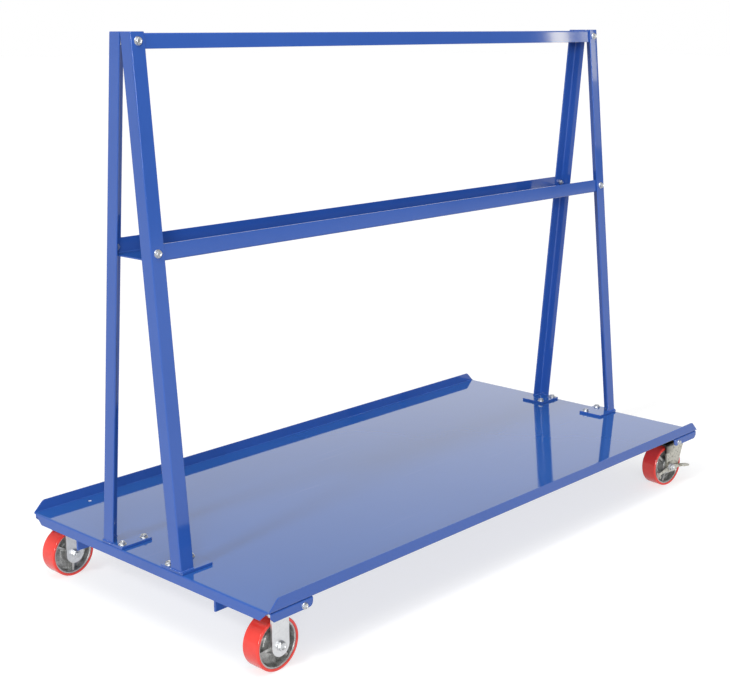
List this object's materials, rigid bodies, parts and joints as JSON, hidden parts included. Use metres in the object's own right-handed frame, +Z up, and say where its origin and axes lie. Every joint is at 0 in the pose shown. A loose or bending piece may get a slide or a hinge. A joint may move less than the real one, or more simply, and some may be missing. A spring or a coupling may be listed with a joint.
{
  "type": "sheet goods cart",
  "caption": "Flat steel deck cart on casters with a central A-frame rack: side lips and a shelf channel hold panels on edge, swivel casters have side brake levers.",
  "frame": {"origin": "on the floor, under the middle of the deck", "axes": "+X along the deck towards the swivel casters, +Y across it, +Z up"},
  "size_m": [1.8348, 0.9144, 1.41],
  "materials": {
    "blue_paint": "gloss powder coat",
    "zinc_plate": "bright zinc plated",
    "cast_core": "cast, painted grey",
    "red_tread": "satin polyurethane"
  },
  "bodies": {
    "cart_frame": {"deck": "blue_paint", "stringer_near": "blue_paint", "stringer_far": "blue_paint", "caster_pad_near_left": "blue_paint", "caster_pad_far_left": "blue_paint", "caster_pad_near_right": "blue_paint", "caster_pad_far_right": "blue_paint", "base_plate_near_left": "blue_paint", "base_plate_far_left": "blue_paint", "base_plate_near_right": "blue_paint", "base_plate_far_right": "blue_paint", "base_bolt_near_left_outer": "zinc_plate", "base_bolt_near_left_inner": "zinc_plate", "base_bolt_far_left_outer": "zinc_plate", "base_bolt_far_left_inner": "zinc_plate", "base_bolt_near_right_outer": "zinc_plate", "base_bolt_near_right_inner": "zinc_plate", "base_bolt_far_right_outer": "zinc_plate", "base_bolt_far_right_inner": "zinc_plate", "leg_near_left": "blue_paint", "leg_far_left": "blue_paint", "leg_near_right": "blue_paint", "leg_far_right": "blue_paint", "top_rail": "blue_paint", "mid_shelf": "blue_paint", "rail_bolt_near_left": "zinc_plate", "shelf_bolt_near_left": "zinc_plate", "rail_bolt_far_left": "zinc_plate", "shelf_bolt_far_left": "zinc_plate", "rail_bolt_near_right": "zinc_plate", "shelf_bolt_near_right": "zinc_plate", "rail_bolt_far_right": "zinc_plate", "shelf_bolt_far_right": "zinc_plate", "caster_fork_near_left": "zinc_plate", "caster_fork_far_left": "zinc_plate", "swivel_plate_near_right": "zinc_plate", "kingpin_near_right": "zinc_plate", "swivel_plate_far_right": "zinc_plate", "kingpin_far_right": "zinc_plate", "axle_sleeve_near_left": "zinc_plate", "axle_bolt_near_left": "zinc_plate", "axle_sleeve_far_left": "zinc_plate", "axle_bolt_far_left": "zinc_plate"},
    "wheel_near_left": {"wheel_core_near_left": "cast_core", "wheel_tread_near_left": "red_tread"},
    "wheel_far_left": {"wheel_core_far_left": "cast_core", "wheel_tread_far_left": "red_tread"},
    "wheel_near_right": {"wheel_core_near_right": "cast_core", "wheel_tread_near_right": "red_tread"},
    "wheel_far_right": {"wheel_core_far_right": "cast_core", "wheel_tread_far_right": "red_tread"},
    "swivel_near_right": {"swivel_fork_near_right": "zinc_plate", "axle_sleeve_near_right": "zinc_plate", "axle_bolt_near_right": "zinc_plate"},
    "brake_near_right": {"brake_lever_near_right": "zinc_plate"},
    "swivel_far_right": {"swivel_fork_far_right": "zinc_plate", "axle_sleeve_far_right": "zinc_plate", "axle_bolt_far_right": "zinc_plate"},
    "brake_far_right": {"brake_lever_far_right": "zinc_plate"}
  },
  "joints": [
    {"name": "wheel_spin_near_left", "type": "hinge", "parent": "cart_frame", "child": "wheel_near_left", "pos_m": [-0.8564, -0.3957, 0.0635], "axis": [0, 1, 0], "continuous": true},
    {"name": "wheel_spin_far_left", "type": "hinge", "parent": "cart_frame", "child": "wheel_far_left", "pos_m": [-0.8564, 0.3957, 0.0635], "axis": [0, 1, 0], "continuous": true},
    {"name": "swivel_turn_near_right", "type": "hinge", "parent": "cart_frame", "child": "swivel_near_right", "pos_m": [0.8564, -0.3957, 0.145], "axis": [0, 0, 1], "continuous": true},
    {"name": "wheel_spin_near_right", "type": "hinge", "parent": "swivel_near_right", "child": "wheel_near_right", "pos_m": [0.81877, -0.39041, 0.0635], "axis": [0.1392, 0.9903, 0], "continuous": true},
    {"name": "brake_press_near_right", "type": "hinge", "parent": "swivel_near_right", "child": "brake_near_right", "pos_m": [0.81877, -0.39041, 0.0635], "axis": [0.1392, 0.9903, 0], "range_deg": [0, 25]},
    {"name": "swivel_turn_far_right", "type": "hinge", "parent": "cart_frame", "child": "swivel_far_right", "pos_m": [0.8564, 0.3957, 0.145], "axis": [0, 0, 1], "continuous": true},
    {"name": "wheel_spin_far_right", "type": "hinge", "parent": "swivel_far_right", "child": "wheel_far_right", "pos_m": [0.8184, 0.3957, 0.0635], "axis": [0, 1, 0], "continuous": true},
    {"name": "brake_press_far_right", "type": "hinge", "parent": "swivel_far_right", "child": "brake_far_right", "pos_m": [0.8184, 0.3957, 0.0635], "axis": [0, 1, 0], "range_deg": [0, 25]}
  ]
}
